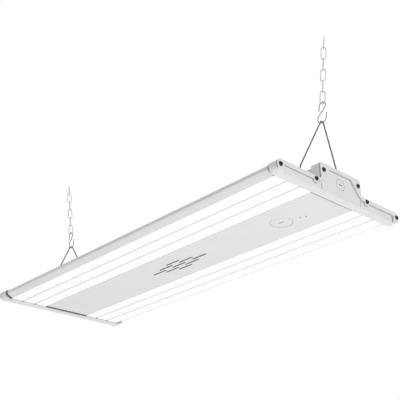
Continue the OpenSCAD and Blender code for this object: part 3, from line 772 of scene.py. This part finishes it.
class SHOPLIGHT_OT_channel(bpy.types.Operator):
    """Coats the folded driver channel"""
    bl_idname = "shop_light.channel"
    bl_label = "Driver channel"

    def execute(self, context):
        settings = context.scene.shop_light_housing
        coat = powder_coat("channel_powder_coat", settings.coat)
        piece = softened("driver_channel", "channel", settings.coat_edge)
        finish_piece(piece, "coated_channel", HOUSING, "channel_paint", coat,
                     "driver_channel")
        return {"FINISHED"}


class SHOPLIGHT_OT_panel(bpy.types.Operator):
    """Coats the centre panel and finishes the sensor port's plug"""
    bl_idname = "shop_light.panel"
    bl_label = "Centre panel"

    def execute(self, context):
        settings = context.scene.shop_light_housing
        # Strong painted shade in the vent slots and along the panel's seams
        coat = powder_coat("panel_powder_coat", settings.coat, deep=0.1, full=0.62)
        piece = self.open_vents(merged("center_panel", "panel"), settings.vent / VENT_WIDTH)
        piece = rounded(piece, SHEET_EDGE)
        finish_piece(piece, "coated_panel", HOUSING, "panel_paint", coat, "center_panel")
        plastic = moulded_plastic("port_plug_plastic", settings.cap)
        piece = lengthen_slot(merged("sensor_port_plug", "plug"), "sensor_port_plug")
        piece = rounded(piece, PLUG_EDGE)
        finish_piece(piece, "port_plug", HOUSING, "white_plastic", plastic, "sensor_port_plug")
        return {"FINISHED"}

    def open_vents(self, piece, share):
        """Widens each row of vent slots about its middle line."""
        choose(piece)
        bpy.ops.object.mode_set(mode="EDIT")
        for row in range(-VENT_ROWS, VENT_ROWS + 1):
            middle = row * VENT_PITCH
            pick(piece, "VERT", lambda v: abs(v.co.y - middle) < VENT_WIDTH
                 and abs(v.co.x) < VENT_REACH)
            bpy.ops.transform.resize(value=(1, share, 1), center_override=(0, middle, 0))
        bpy.ops.object.mode_set(mode="OBJECT")
        return piece


class SHOPLIGHT_OT_caps(bpy.types.Operator):
    """Rounds the moulded end caps, their plug and their grommet"""
    bl_idname = "shop_light.caps"
    bl_label = "End caps"

    def execute(self, context):
        settings = context.scene.shop_light_housing
        plastic = moulded_plastic("cap_plastic", settings.cap)
        for side, end in ENDS.items():
            piece = merged(f"end_cap_{side}", "cap")
            self.round_face(piece, end, settings.cap_round)
            piece = rounded(piece, CAP_EDGE)
            finish_piece(piece, f"moulded_cap_{side}", HOUSING, "cap_plastic", plastic,
                         f"end_cap_{side}")
        piece = softened("entry_plug_right", "plug", PLUG_EDGE)
        finish_piece(piece, "entry_plug", HOUSING, "white_plastic", plastic,
                     "entry_plug_right")
        piece = softened("cord_grommet", "grommet", GROMMET_EDGE, segments=3)
        finish_piece(piece, "rubber_grommet", HOUSING, "rubber", rubber("grommet_rubber"),
                     "cord_grommet")
        return {"FINISHED"}

    def round_face(self, piece, end, radius):
        """Rounds the face's rim, whose corners lie over those of the cap's mouth."""
        corners = [v.co for v in piece.data.vertices]
        mouth = {(round(c.y, 5), round(c.z, 5)) for c in corners
                 if abs(end * c.x - MOUTH) < NEAR}
        rim = {i for i, c in enumerate(corners)
               if abs(end * c.x - CAP_FACE) < NEAR and (round(c.y, 5), round(c.z, 5)) in mouth}
        choose(piece)
        bpy.ops.object.mode_set(mode="EDIT")
        pick(piece, "EDGE", lambda edge: set(edge.vertices) <= rim)
        bpy.ops.mesh.bevel(offset=radius, segments=4, affect="EDGES", clamp_overlap=True)
        bpy.ops.object.mode_set(mode="OBJECT")


class SHOPLIGHT_OT_seals(bpy.types.Operator):
    """Lays dark grey foam seal strips under the panel and ribs and round the rails at each cap's
    mouth; their dark stands in for the shadow gap there
    """
    bl_idname = "shop_light.seals"
    bl_label = "Seals"

    def execute(self, context):
        width = context.scene.shop_light_housing.seal
        # Dark grey foam, whose colour also paints the shade in the gap at each cap's mouth
        shadow_grey = rubber("seal_foam", (0.08, 0.08, 0.082), (0.14, 0.14, 0.143), 0.08)
        panel_side = PANEL[1].y
        level = LENS_FACE + SEAL_SUNK
        start = RAIL_OUT - RAIL_WIDTH
        rail = [(start + y, LENS_FACE + z) for y, z in RAIL_STEPS]
        routes = [([(-panel_side, level), (panel_side, level)], width)]
        for way in (-1, 1):
            routes += [([(way * y - RIB / 2, level), (way * y + RIB / 2, level)], RIB_SEAL)
                       for y in RIB_SIDES]
            routes.append(([(way * y, z) for y, z in rail], width + RAIL_SEAL))
        for side, end in ENDS.items():
            bands = [self.band(end, route, reach) for route, reach in routes]
            choose(*bands)
            bpy.ops.object.join()
            finish_piece(bpy.context.object, f"mouth_seal_{side}", HOUSING, "rubber", shadow_grey)
        return {"FINISHED"}

    def band(self, end, route, width):
        """A flat band of foam along a route of (y, z) places, against a cap's mouth."""
        (y, z), (next_y, next_z) = route[:2]
        heading = math.atan2(next_z - z, next_y - y)
        band = Wire(SEAL_THICK / 2, route[0], heading, BAND_SIDES, width / SEAL_THICK)
        band.through([(corner, BAND_BEND) for corner in route[1:-1]], route[-1])
        piece = band.finish("band")
        place(piece, Matrix.Translation((end * (MOUTH - width / 2 + SEAL_SUNK), 0, 0))
              @ Matrix.Rotation(math.pi / 2, 4, "Z"))
        return piece


class SHOPLIGHT_OT_screws(bpy.types.Operator):
    """Finishes the cap screws and the small screws on the roof"""
    bl_idname = "shop_light.screws"
    bl_label = "Screws"

    def execute(self, context):
        dark, bright = oxide_screw("black_oxide"), zinc_screw("zinc_plate")
        for side in SIDES:
            piece = softened(f"cap_screws_{side}", "screws", CAP_SCREW_EDGE)
            finish_piece(piece, f"socket_screws_{side}", HOUSING, "dark_screws", dark,
                         f"cap_screws_{side}")
        for node in ("channel_screws", "driver_screws"):
            piece = softened(node, "screws", SMALL_SCREW_EDGE)
            finish_piece(piece, f"zinc_{node}", HOUSING, "bright_screws", bright, node)
        return {"FINISHED"}


class SHOPLIGHT_OT_diffusers(bpy.types.Operator):
    """Lights the six opal diffusers"""
    bl_idname = "shop_light.diffusers"
    bl_label = "Diffusers"

    def execute(self, context):
        settings = context.scene.shop_light_housing
        lens = opal("opal_lens", settings.lens, settings.glow)
        for side in SIDES:
            for where in PLACES:
                node = f"diffuser_{side}_{where}"
                piece = softened(node, "lens", settings.lens_edge, segments=3)
                finish_piece(piece, f"lit_{node}", HOUSING, "opal_diffuser", lens, node)
        return {"FINISHED"}


class SHOPLIGHT_OT_inside(bpy.types.Operator):
    """Finishes the boards, driver, terminal block, connectors and leads inside"""
    bl_idname = "shop_light.inside"
    bl_label = "Inside"

    def execute(self, context):
        chip_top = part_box("led_board_right_inner")[0].z + CHIP_DEPTH
        board = board_finish("led_board_finish", chip_top)
        for side in SIDES:
            for where in PLACES:
                self.paint(f"led_board_{side}_{where}", board)
        # The driver's black case also paints the shade seen through the panel's vents
        self.paint("led_driver", black_case_and_vent_shade("driver_case"))
        self.paint("terminal_block", moulded_plastic("terminal_plastic", (0.78, 0.77, 0.72)))
        self.paint("board_connectors", moulded_plastic("connector_plastic", (0.8, 0.79, 0.75)))
        self.paint("mains_leads", sleeving("mains_sleeving", [
            (0.0, (0.09, 0.03, 0.012)), (0.4, (0.02, 0.16, 0.03)), (0.6, (0.012, 0.05, 0.28))]))
        self.paint("board_leads", sleeving("board_sleeving", [
            (0.0, (0.35, 0.012, 0.012)), (0.5, (0.02, 0.02, 0.022))]))
        return {"FINISHED"}

    def paint(self, node, material):
        """Gives a CAD node that stays as it is its material."""
        data = frame["nodes"][node].data
        data.materials.clear()
        data.materials.append(material)


class SHOPLIGHT_OT_hanging(bpy.types.Operator):
    """Finishes the V hangers, S hooks and chain"""
    bl_idname = "shop_light.hanging"
    bl_label = "Hanging gear"

    def execute(self, context):
        settings = context.scene.shop_light_hanging
        vee = wire("vee_wire_finish", settings.vee)
        hook = wire("hook_wire_finish", settings.hook)
        chain = wire("chain_zinc", settings.chain, 0.3)
        for side, end in ENDS.items():
            foot = Vector(JOINTS[f"v_hanger_swing_{side}"]["pos_m"])
            peak = Vector(JOINTS[f"s_hook_swing_{side}"]["pos_m"])
            first = Vector(JOINTS[f"link_1_swing_{side}"]["pos_m"])
            upright = Matrix.Translation(foot) @ Matrix.Rotation(
                end * math.atan2(abs(peak.x - foot.x), peak.z - foot.z), 4, "Y")
            height = (peak - foot).length
            piece = self.bend_vee(height, settings.wire_sides)
            place(piece, upright @ Matrix.Rotation(math.pi / 2, 4, "Z"))
            finish_piece(piece, f"wire_vee_{side}", f"v_hanger_{side}", "hanger_wire", vee,
                         f"v_hanger_{side}")
            piece = self.bend_hook(height, settings.wire_sides)
            place(piece, upright)
            finish_piece(piece, f"wire_hook_{side}", f"s_hook_{side}", "hook_wire", hook,
                         f"s_hook_{side}")
            link = self.weld_link()
            for k in range(1, LINKS + 1):
                node = f"chain_link_{side}_{k}"
                turn = math.radians(LINK_TURN + (0 if k % 2 else 90))
                rise = self.link_rise(k, (first - foot).length)
                piece = copy_of(link, node, upright @ Matrix.Translation((0, 0, rise))
                                @ Matrix.Rotation(turn, 4, "Z"))
                finish_piece(piece, f"welded_{node}", node, "chain_wire", chain, node)
            bpy.data.objects.remove(link)
        return {"FINISHED"}

    def link_rise(self, k, hook_top):
        """Height of a link's lower bend over the V hanger's pivot."""
        first = hook_top - HOOK_WIRE - LINK_WIRE - 3 * HOOK_GAP
        return first + (k - 1) * (LINK_STRAIGHT + 2 * LINK_BEND - 2 * LINK_WIRE - HOOK_GAP)

    def bend_vee(self, height, sides):
        """Bends a V hanger: feet, short upright legs, knees and the peak."""
        foot_bend, knee_bend, peak_bend = VEE_BENDS
        slope = math.radians(25)
        for _ in range(20):
            slope = math.atan2(
                VEE_LEG - knee_bend * (1 - math.cos(slope)) - peak_bend * math.cos(slope),
                height - peak_bend + peak_bend * math.sin(slope) - VEE_RISE
                - knee_bend * math.sin(slope))
        centre = height - peak_bend
        knee = centre + (peak_bend - VEE_LEG * math.cos(slope)) / math.sin(slope)
        peak = centre + peak_bend / math.sin(slope)
        bent = Wire(VEE_WIRE, (-VEE_FOOT, 0), math.pi, sides)
        bent.through([((-VEE_LEG, 0), foot_bend), ((-VEE_LEG, knee), knee_bend),
                      ((0, peak), peak_bend), ((VEE_LEG, knee), knee_bend),
                      ((VEE_LEG, 0), foot_bend)], (VEE_FOOT, 0))
        return bent.finish("vee")

    def bend_hook(self, height, sides):
        """Bends an S hook: bowl below, arch above and a straight tip on each."""
        bowl = height - VEE_WIRE - HOOK_WIRE - HOOK_GAP + HOOK_BOWL
        tilt = math.asin((HOOK_BOWL + HOOK_ARCH) / HOOK_SPAN)
        bent = Wire(HOOK_WIRE, (HOOK_BOWL, bowl + HOOK_TIP), -math.pi / 2, sides)
        bent.run(HOOK_TIP)
        bent.bend(HOOK_BOWL, -math.pi - tilt)
        bent.run(HOOK_SPAN * math.cos(tilt))
        bent.bend(HOOK_ARCH, math.pi + tilt)
        bent.run(HOOK_TIP)
        return bent.finish("hook")

    def weld_link(self):
        """Shapes a chain link from a ring, with a weld on one straight side."""
        bpy.ops.object.select_all(action="DESELECT")
        bpy.ops.mesh.primitive_torus_add(
            major_segments=LINK_SEGMENTS[0], minor_segments=LINK_SEGMENTS[1],
            major_radius=LINK_BEND, minor_radius=LINK_WIRE, location=(0, 0, LINK_BEND),
            rotation=(math.pi / 2, 0, 0))
        link = bpy.context.object
        bpy.ops.object.transform_apply(location=True, rotation=True, scale=True)
        bpy.ops.object.mode_set(mode="EDIT")
        pick(link, "VERT", lambda v: v.co.z > LINK_BEND - NEAR / 2)
        bpy.ops.transform.translate(value=(0, 0, LINK_STRAIGHT))
        weld = LINK_BEND + LINK_STRAIGHT / 2
        for lift in WELD_CUTS:
            pick(link, "FACE", lambda f: f.center.x > 0 and abs(f.center.z - weld) < LINK_STRAIGHT)
            bpy.ops.mesh.bisect(plane_co=(0, 0, weld + lift), plane_no=(0, 0, 1))
        pick(link, "VERT", lambda v: v.co.x > 0 and abs(v.co.z - weld) < WELD_REACH)
        bpy.ops.transform.resize(value=(WELD_SWELL, WELD_SWELL, 1),
                                 center_override=(LINK_BEND, 0, weld))
        bpy.ops.object.mode_set(mode="OBJECT")
        smooth(link, 45)
        return link


class SHOPLIGHT_PT_build(bpy.types.Panel):
    """Lists the pieces of the shop light"""
    bl_idname = "SHOPLIGHT_PT_build"
    bl_label = "Hanging Shop Light"
    bl_space_type = "VIEW_3D"
    bl_region_type = "UI"
    bl_category = "Shop Light"

    def draw(self, context):
        """Draws a button for each operator and the settings of each group."""
        for operator in OPERATORS:
            self.layout.operator(operator.bl_idname)
        for group in GROUPS:
            settings = getattr(context.scene, group)
            box = self.layout.box()
            for name in GROUPS[group].__annotations__:
                box.prop(settings, name)


GROUPS = {
    "shop_light_housing": ShopLightHousing,
    "shop_light_hanging": ShopLightHanging,
    "shop_light_stage": ShopLightStage,
}
OPERATORS = (
    SHOPLIGHT_OT_stage, SHOPLIGHT_OT_wings, SHOPLIGHT_OT_channel, SHOPLIGHT_OT_panel,
    SHOPLIGHT_OT_caps, SHOPLIGHT_OT_seals, SHOPLIGHT_OT_screws, SHOPLIGHT_OT_diffusers,
    SHOPLIGHT_OT_inside, SHOPLIGHT_OT_hanging,
)


def register():
    """Registers the classes and gives the scene their settings."""
    for cls in (*GROUPS.values(), *OPERATORS, SHOPLIGHT_PT_build):
        bpy.utils.register_class(cls)
    for name, group in GROUPS.items():
        setattr(bpy.types.Scene, name, bpy.props.PointerProperty(type=group))


def unregister():
    """Takes back what register did."""
    for name in GROUPS:
        delattr(bpy.types.Scene, name)
    for cls in (SHOPLIGHT_PT_build, *reversed(OPERATORS), *reversed(GROUPS.values())):
        bpy.utils.unregister_class(cls)


def main():
    """Builds every piece in order."""
    register()
    bpy.ops.shop_light.stage()
    bpy.ops.shop_light.wings()
    bpy.ops.shop_light.channel()
    bpy.ops.shop_light.panel()
    bpy.ops.shop_light.caps()
    bpy.ops.shop_light.seals()
    bpy.ops.shop_light.screws()
    bpy.ops.shop_light.diffusers()
    bpy.ops.shop_light.inside()
    bpy.ops.shop_light.hanging()


if __name__ == "__main__":
    main()
